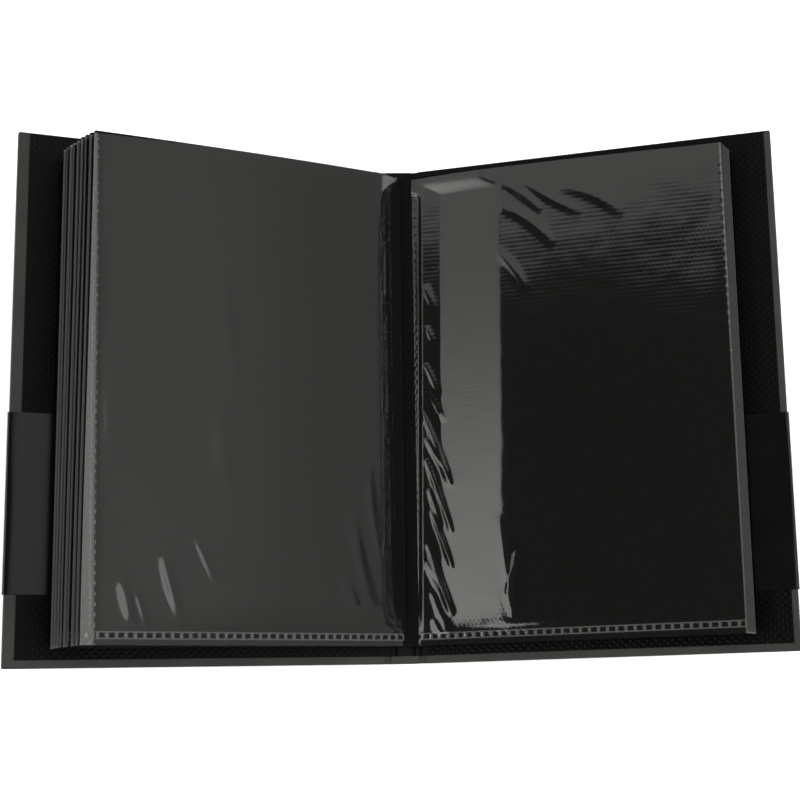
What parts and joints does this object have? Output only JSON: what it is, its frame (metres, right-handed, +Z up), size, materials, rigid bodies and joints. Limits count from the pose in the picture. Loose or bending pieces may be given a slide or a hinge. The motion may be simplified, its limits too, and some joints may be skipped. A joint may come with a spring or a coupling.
{
  "type": "slip-in pocket album",
  "caption": "Hardback slip-in pocket album with clear pockets on black leaves and a belly band, lying open in a shallow V.",
  "frame": {"origin": "under the middle of the spine, on the surface that the open album rests on", "axes": "+X across the opening towards the back cover, +Y along the spine towards the head, +Z up out of the opening"},
  "size_m": [0.2464, 0.17, 0.0676],
  "materials": {
    "greyboard": "raw, solid greyboard",
    "covering": "dark grey book covering paper, matt",
    "endpaper": "black, embossed with fine round dots",
    "binding": "black binding glue",
    "page_sheet": "black plastic sheet, embossed with fine dots",
    "pocket_film": "clear, thin, slightly wrinkled film",
    "band": "black card with a satin laminate"
  },
  "bodies": {
    "spine": {"spine_board": "greyboard", "spine_covering": "covering", "spine_lining": "endpaper", "binding_strip": "binding"},
    "front_cover": {"front_board": "greyboard", "front_covering": "covering", "front_endpaper": "endpaper"},
    "back_cover": {"back_board": "greyboard", "back_covering": "covering", "back_endpaper": "endpaper"},
    "band_front": {"band_front": "band"},
    "band_spine": {"band_spine": "band"},
    "band_back": {"band_back": "band"},
    "leaf_01": {"leaf_01_sheet": "page_sheet", "leaf_01_pockets": "pocket_film"},
    "leaf_02": {"leaf_02_sheet": "page_sheet", "leaf_02_pockets": "pocket_film"},
    "leaf_03": {"leaf_03_sheet": "page_sheet", "leaf_03_pockets": "pocket_film"},
    "leaf_04": {"leaf_04_sheet": "page_sheet", "leaf_04_pockets": "pocket_film"},
    "leaf_05": {"leaf_05_sheet": "page_sheet", "leaf_05_pockets": "pocket_film"},
    "leaf_06": {"leaf_06_sheet": "page_sheet", "leaf_06_pockets": "pocket_film"},
    "leaf_07": {"leaf_07_sheet": "page_sheet", "leaf_07_pockets": "pocket_film"},
    "leaf_08": {"leaf_08_sheet": "page_sheet", "leaf_08_pockets": "pocket_film"},
    "leaf_09": {"leaf_09_sheet": "page_sheet", "leaf_09_pockets": "pocket_film"},
    "leaf_10": {"leaf_10_sheet": "page_sheet", "leaf_10_pockets": "pocket_film"},
    "leaf_11": {"leaf_11_sheet": "page_sheet", "leaf_11_pockets": "pocket_film"},
    "leaf_12": {"leaf_12_sheet": "page_sheet", "leaf_12_pockets": "pocket_film"},
    "leaf_13": {"leaf_13_sheet": "page_sheet", "leaf_13_pockets": "pocket_film"},
    "leaf_14": {"leaf_14_sheet": "page_sheet", "leaf_14_pockets": "pocket_film"},
    "leaf_15": {"leaf_15_sheet": "page_sheet", "leaf_15_pockets": "pocket_film"},
    "leaf_16": {"leaf_16_sheet": "page_sheet", "leaf_16_pockets": "pocket_film"},
    "leaf_17": {"leaf_17_sheet": "page_sheet", "leaf_17_pockets": "pocket_film"},
    "leaf_18": {"leaf_18_sheet": "page_sheet", "leaf_18_pockets": "pocket_film"}
  },
  "joints": [
    {"name": "front_cover_hinge", "type": "hinge", "parent": "spine", "child": "front_cover", "pos_m": [-0.0053, 0, 0.00038], "axis": [0, 1, 0], "range_deg": [-20, 68]},
    {"name": "back_cover_hinge", "type": "hinge", "parent": "spine", "child": "back_cover", "pos_m": [0.0053, 0, 0.00038], "axis": [0, -1, 0], "range_deg": [-20, 68]},
    {"name": "leaf_01_hinge", "type": "hinge", "parent": "spine", "child": "leaf_01", "pos_m": [-0.00251, 0, 0.0031], "axis": [0, 1, 0], "range_deg": [-19.42, 66.01]},
    {"name": "leaf_02_hinge", "type": "hinge", "parent": "spine", "child": "leaf_02", "pos_m": [-0.00224, 0, 0.00335], "axis": [0, 1, 0], "range_deg": [-19.04, 64.71]},
    {"name": "leaf_03_hinge", "type": "hinge", "parent": "spine", "child": "leaf_03", "pos_m": [-0.00197, 0, 0.0036], "axis": [0, 1, 0], "range_deg": [-18.66, 63.41]},
    {"name": "leaf_04_hinge", "type": "hinge", "parent": "spine", "child": "leaf_04", "pos_m": [-0.0017, 0, 0.00385], "axis": [0, 1, 0], "range_deg": [-18.27, 62.11]},
    {"name": "leaf_05_hinge", "type": "hinge", "parent": "spine", "child": "leaf_05", "pos_m": [-0.00143, 0, 0.0041], "axis": [0, 1, 0], "range_deg": [-17.89, 60.81]},
    {"name": "leaf_06_hinge", "type": "hinge", "parent": "spine", "child": "leaf_06", "pos_m": [-0.00116, 0, 0.00435], "axis": [0, 1, 0], "range_deg": [-17.51, 59.51]},
    {"name": "leaf_07_hinge", "type": "hinge", "parent": "spine", "child": "leaf_07", "pos_m": [-0.00089, 0, 0.0046], "axis": [0, 1, 0], "range_deg": [-17.13, 58.21]},
    {"name": "leaf_08_hinge", "type": "hinge", "parent": "spine", "child": "leaf_08", "pos_m": [-0.00062, 0, 0.00485], "axis": [0, 1, 0], "range_deg": [-16.75, 56.91]},
    {"name": "leaf_09_turn", "type": "hinge", "parent": "leaf_08", "child": "leaf_09", "pos_m": [-0.00035, 0, 0.0051], "axis": [0, -1, 0], "range_deg": [-122, 0]},
    {"name": "leaf_10_turn", "type": "hinge", "parent": "leaf_11", "child": "leaf_10", "pos_m": [0.00035, 0, 0.0051], "axis": [0, 1, 0], "range_deg": [-30, 0]},
    {"name": "leaf_11_hinge", "type": "hinge", "parent": "spine", "child": "leaf_11", "pos_m": [0.00062, 0, 0.00485], "axis": [0, -1, 0], "range_deg": [-19.24, 65.4]},
    {"name": "leaf_12_hinge", "type": "hinge", "parent": "spine", "child": "leaf_12", "pos_m": [0.00089, 0, 0.0046], "axis": [0, -1, 0], "range_deg": [-19.31, 65.63]},
    {"name": "leaf_13_hinge", "type": "hinge", "parent": "spine", "child": "leaf_13", "pos_m": [0.00116, 0, 0.00435], "axis": [0, -1, 0], "range_deg": [-19.38, 65.86]},
    {"name": "leaf_14_hinge", "type": "hinge", "parent": "spine", "child": "leaf_14", "pos_m": [0.00143, 0, 0.0041], "axis": [0, -1, 0], "range_deg": [-19.45, 66.09]},
    {"name": "leaf_15_hinge", "type": "hinge", "parent": "spine", "child": "leaf_15", "pos_m": [0.0017, 0, 0.00385], "axis": [0, -1, 0], "range_deg": [-19.51, 66.32]},
    {"name": "leaf_16_hinge", "type": "hinge", "parent": "spine", "child": "leaf_16", "pos_m": [0.00197, 0, 0.0036], "axis": [0, -1, 0], "range_deg": [-19.58, 66.55]},
    {"name": "leaf_17_hinge", "type": "hinge", "parent": "spine", "child": "leaf_17", "pos_m": [0.00224, 0, 0.00335], "axis": [0, -1, 0], "range_deg": [-19.65, 66.78]},
    {"name": "leaf_18_hinge", "type": "hinge", "parent": "spine", "child": "leaf_18", "pos_m": [0.00251, 0, 0.0031], "axis": [0, -1, 0], "range_deg": [-19.72, 67.01]},
    {"name": "band_slide", "type": "slide", "parent": "front_cover", "child": "band_front", "axis": [0, 1, 0], "range_m": [-0.019, 0.078]},
    {"name": "band_spine_slide", "type": "slide", "parent": "spine", "child": "band_spine", "axis": [0, 1, 0], "range_m": [-0.019, 0.078]},
    {"name": "band_back_slide", "type": "slide", "parent": "back_cover", "child": "band_back", "axis": [0, 1, 0], "range_m": [-0.019, 0.078]}
  ],
  "couplings": [
    {"joint": "leaf_01_hinge", "follows": "front_cover_hinge", "ratio": 0.97059},
    {"joint": "leaf_02_hinge", "follows": "front_cover_hinge", "ratio": 0.95147},
    {"joint": "leaf_03_hinge", "follows": "front_cover_hinge", "ratio": 0.93235},
    {"joint": "leaf_04_hinge", "follows": "front_cover_hinge", "ratio": 0.91324},
    {"joint": "leaf_05_hinge", "follows": "front_cover_hinge", "ratio": 0.89412},
    {"joint": "leaf_06_hinge", "follows": "front_cover_hinge", "ratio": 0.875},
    {"joint": "leaf_07_hinge", "follows": "front_cover_hinge", "ratio": 0.85588},
    {"joint": "leaf_08_hinge", "follows": "front_cover_hinge", "ratio": 0.83676},
    {"joint": "leaf_11_hinge", "follows": "back_cover_hinge", "ratio": 0.96162},
    {"joint": "leaf_12_hinge", "follows": "back_cover_hinge", "ratio": 0.965},
    {"joint": "leaf_13_hinge", "follows": "back_cover_hinge", "ratio": 0.96838},
    {"joint": "leaf_14_hinge", "follows": "back_cover_hinge", "ratio": 0.97176},
    {"joint": "leaf_15_hinge", "follows": "back_cover_hinge", "ratio": 0.97515},
    {"joint": "leaf_16_hinge", "follows": "back_cover_hinge", "ratio": 0.97853},
    {"joint": "leaf_17_hinge", "follows": "back_cover_hinge", "ratio": 0.98191},
    {"joint": "leaf_18_hinge", "follows": "back_cover_hinge", "ratio": 0.98529},
    {"joint": "band_spine_slide", "follows": "band_slide", "ratio": 1},
    {"joint": "band_back_slide", "follows": "band_slide", "ratio": 1}
  ]
}
